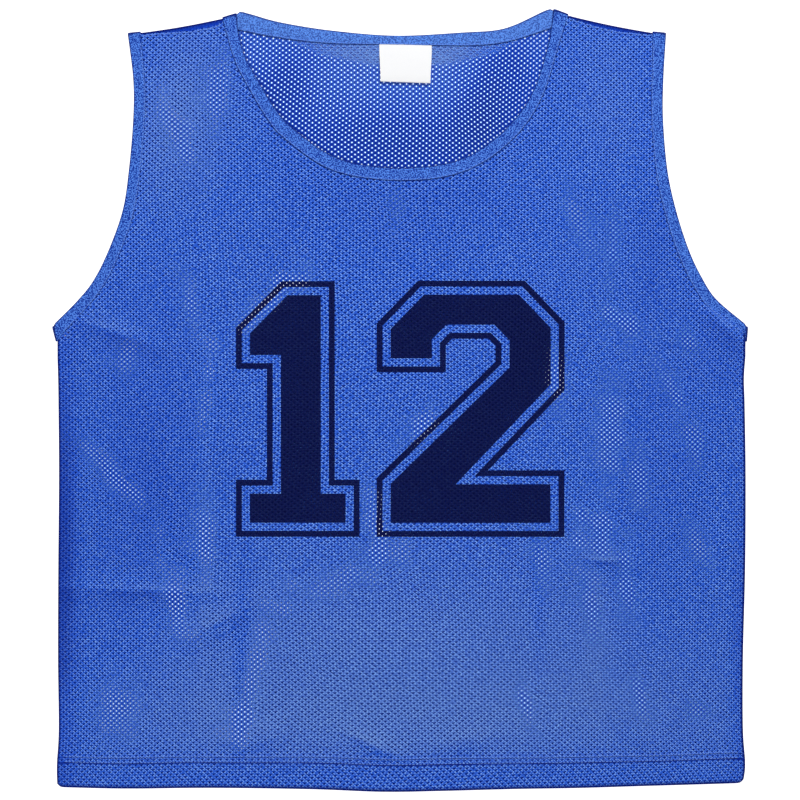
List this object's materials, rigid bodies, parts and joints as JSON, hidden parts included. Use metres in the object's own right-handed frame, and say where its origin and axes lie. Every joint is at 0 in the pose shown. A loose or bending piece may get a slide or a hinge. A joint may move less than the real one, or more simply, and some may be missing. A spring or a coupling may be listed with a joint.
{
  "type": "mesh training bib",
  "caption": "Sleeveless mesh sports vest laid flat, with bound round neck and armholes, turned hem and a printed number on the chest.",
  "frame": {"origin": "centre of the outline's bounding box, on the surface that the bib lies on", "axes": "+Y from the hem to the neck, +Z away from the surface, out of the front, +X to the right as seen from above"},
  "size_m": [0.564, 0.6339, 0.0043],
  "materials": {
    "cloth_mesh": "blue polyester micro mesh",
    "binding_mesh": "folded strip of the same blue mesh",
    "label_satin": "white woven satin"
  },
  "bodies": {
    "root": {"back_panel": "cloth_mesh", "front_panel": "cloth_mesh", "neck_binding": "binding_mesh", "armhole_binding_left": "binding_mesh", "armhole_binding_right": "binding_mesh", "neck_label": "label_satin"}
  },
  "joints": []
}
